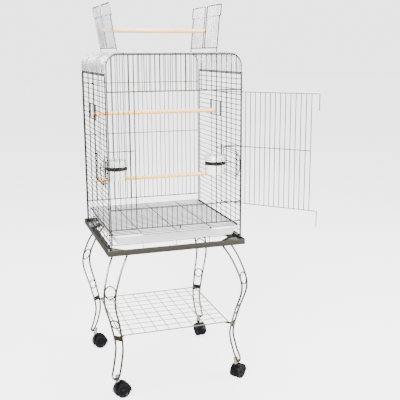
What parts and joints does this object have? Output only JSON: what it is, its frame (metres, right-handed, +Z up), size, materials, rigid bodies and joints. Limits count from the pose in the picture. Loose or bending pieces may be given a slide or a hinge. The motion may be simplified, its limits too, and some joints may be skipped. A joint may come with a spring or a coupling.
{
  "type": "bird cage with play top on a rolling stand",
  "caption": "Square wire bird cage with a rounded roof that opens into a play top, side feeders, pull-out tray and a curved-leg stand on casters.",
  "frame": {"origin": "on the floor under the middle of the whole object's box, with the front door open as in the picture", "axes": "+Z up, +Y to the back of the cage, +X to its right as seen from the front door"},
  "size_m": [0.7185, 0.8123, 1.4656],
  "materials": {
    "cage_wire": "bright plated round wire, slightly warm in its reflections",
    "roof_wire": "bright plated round wire",
    "leg_chrome": "polished plated rod",
    "base_paint": "satin dark grey-brown paint on folded sheet",
    "plate_chrome": "plated sheet",
    "shelf_coat": "cream powder coat on wire",
    "tray_plastic": "white moulded plastic, satin",
    "perch_wood": "pale sanded hardwood dowel, unvarnished",
    "caster_plastic": "black moulded nylon",
    "band_metal": "dark polished band and wire",
    "cup_plastic": "white moulded plastic",
    "hood_plastic": "translucent pale green plastic"
  },
  "bodies": {
    "cage": {"base_frame": "base_paint", "front_left_corner_plate": "plate_chrome", "front_right_corner_plate": "plate_chrome", "back_left_corner_plate": "plate_chrome", "back_right_corner_plate": "plate_chrome", "front_left_leg": "leg_chrome", "front_right_leg": "leg_chrome", "back_left_leg": "leg_chrome", "back_right_leg": "leg_chrome", "lower_shelf": "shelf_coat", "tray_rack": "cage_wire", "left_tray_rail": "cage_wire", "right_tray_rail": "cage_wire", "front_tray_rail": "cage_wire", "back_tray_rail": "cage_wire", "front_panel": "cage_wire", "back_panel": "cage_wire", "left_wall": "cage_wire", "right_wall": "cage_wire", "roof": "roof_wire", "upper_perch": "perch_wood", "lower_perch": "perch_wood", "left_perch_bracket": "cage_wire", "right_perch_bracket": "cage_wire"},
    "tray": {"tray": "tray_plastic"},
    "grate": {"grate": "cage_wire"},
    "tray_latch": {"tray_latch": "cage_wire"},
    "left_flap": {"left_flap": "roof_wire"},
    "right_flap": {"right_flap": "roof_wire"},
    "play_perch": {"play_perch": "perch_wood"},
    "front_door": {"front_door": "cage_wire"},
    "left_feeder": {"left_feeder_door": "cage_wire", "left_cup_holder": "band_metal"},
    "left_cup": {"left_cup": "cup_plastic", "left_cup_hood": "hood_plastic"},
    "right_feeder": {"right_feeder_door": "cage_wire", "right_cup_holder": "band_metal"},
    "right_cup": {"right_cup": "cup_plastic", "right_cup_hood": "hood_plastic"},
    "front_left_caster": {"front_left_caster_hood": "caster_plastic"},
    "front_left_wheel_a": {"front_left_wheel_a": "caster_plastic"},
    "front_left_wheel_b": {"front_left_wheel_b": "caster_plastic"},
    "front_right_caster": {"front_right_caster_hood": "caster_plastic"},
    "front_right_wheel_a": {"front_right_wheel_a": "caster_plastic"},
    "front_right_wheel_b": {"front_right_wheel_b": "caster_plastic"},
    "back_left_caster": {"back_left_caster_hood": "caster_plastic"},
    "back_left_wheel_a": {"back_left_wheel_a": "caster_plastic"},
    "back_left_wheel_b": {"back_left_wheel_b": "caster_plastic"},
    "back_right_caster": {"back_right_caster_hood": "caster_plastic"},
    "back_right_wheel_a": {"back_right_wheel_a": "caster_plastic"},
    "back_right_wheel_b": {"back_right_wheel_b": "caster_plastic"}
  },
  "joints": [
    {"name": "tray_slide", "type": "slide", "parent": "cage", "child": "tray", "axis": [0, -1, 0], "range_m": [0, 0.42]},
    {"name": "grate_slide", "type": "slide", "parent": "cage", "child": "grate", "axis": [0, -1, 0], "range_m": [0, 0.42]},
    {"name": "tray_latch_swing", "type": "hinge", "parent": "cage", "child": "tray_latch", "pos_m": [-0.06343, -0.13404, 0.66], "axis": [1, 0, 0], "range_deg": [-150, 0]},
    {"name": "left_flap_fold", "type": "hinge", "parent": "cage", "child": "left_flap", "pos_m": [-0.25951, 0.11996, 1.288], "axis": [0, 1, 0], "range_deg": [0, 98.5]},
    {"name": "right_flap_fold", "type": "hinge", "parent": "cage", "child": "right_flap", "pos_m": [0.11349, 0.11996, 1.288], "axis": [0, -1, 0], "range_deg": [0, 95]},
    {"name": "play_perch_lift", "type": "slide", "parent": "cage", "child": "play_perch", "axis": [0, 0, -1], "range_m": [-0.12, 0.054]},
    {"name": "front_door_swing", "type": "hinge", "parent": "cage", "child": "front_door", "pos_m": [0.09958, -0.13404, 0.945], "axis": [0, 0, 1], "range_deg": [-133, 19]},
    {"name": "left_feeder_swing", "type": "hinge", "parent": "cage", "child": "left_feeder", "pos_m": [-0.32591, 0.07996, 0.8677], "axis": [0, 0, -1], "range_deg": [0, 100]},
    {"name": "left_cup_lift", "type": "slide", "parent": "left_feeder", "child": "left_cup", "axis": [0, 0, 1], "range_m": [0, 0.06]},
    {"name": "right_feeder_swing", "type": "hinge", "parent": "cage", "child": "right_feeder", "pos_m": [0.17989, 0.07996, 0.8677], "axis": [0, 0, 1], "range_deg": [0, 100]},
    {"name": "right_cup_lift", "type": "slide", "parent": "right_feeder", "child": "right_cup", "axis": [0, 0, 1], "range_m": [0, 0.06]},
    {"name": "front_left_swivel", "type": "hinge", "parent": "cage", "child": "front_left_caster", "pos_m": [-0.31378, -0.12081, 0.078], "axis": [0, 0, 1], "continuous": true},
    {"name": "front_left_wheel_a_roll", "type": "hinge", "parent": "front_left_caster", "child": "front_left_wheel_a", "pos_m": [-0.29618, -0.11707, 0.0275], "axis": [-0.2079, 0.9781, 0], "continuous": true},
    {"name": "front_left_wheel_b_roll", "type": "hinge", "parent": "front_left_caster", "child": "front_left_wheel_b", "pos_m": [-0.29618, -0.11707, 0.0275], "axis": [-0.2079, 0.9781, 0], "continuous": true},
    {"name": "front_right_swivel", "type": "hinge", "parent": "cage", "child": "front_right_caster", "pos_m": [0.16776, -0.12081, 0.078], "axis": [0, 0, 1], "continuous": true},
    {"name": "front_right_wheel_a_roll", "type": "hinge", "parent": "front_right_caster", "child": "front_right_wheel_a", "pos_m": [0.1825, -0.11049, 0.0275], "axis": [-0.5736, 0.8192, 0], "continuous": true},
    {"name": "front_right_wheel_b_roll", "type": "hinge", "parent": "front_right_caster", "child": "front_right_wheel_b", "pos_m": [0.1825, -0.11049, 0.0275], "axis": [-0.5736, 0.8192, 0], "continuous": true},
    {"name": "back_left_swivel", "type": "hinge", "parent": "cage", "child": "back_left_caster", "pos_m": [-0.31378, 0.36073, 0.078], "axis": [0, 0, 1], "continuous": true},
    {"name": "back_left_wheel_a_roll", "type": "hinge", "parent": "back_left_caster", "child": "back_left_wheel_a", "pos_m": [-0.29585, 0.3623, 0.0275], "axis": [-0.0872, 0.9962, 0], "continuous": true},
    {"name": "back_left_wheel_b_roll", "type": "hinge", "parent": "back_left_caster", "child": "back_left_wheel_b", "pos_m": [-0.29585, 0.3623, 0.0275], "axis": [-0.0872, 0.9962, 0], "continuous": true},
    {"name": "back_right_swivel", "type": "hinge", "parent": "cage", "child": "back_right_caster", "pos_m": [0.16776, 0.36073, 0.078], "axis": [0, 0, 1], "continuous": true},
    {"name": "back_right_wheel_a_roll", "type": "hinge", "parent": "back_right_caster", "child": "back_right_wheel_a", "pos_m": [0.16933, 0.3428, 0.0275], "axis": [0.9962, 0.0872, 0], "continuous": true},
    {"name": "back_right_wheel_b_roll", "type": "hinge", "parent": "back_right_caster", "child": "back_right_wheel_b", "pos_m": [0.16933, 0.3428, 0.0275], "axis": [0.9962, 0.0872, 0], "continuous": true}
  ]
}
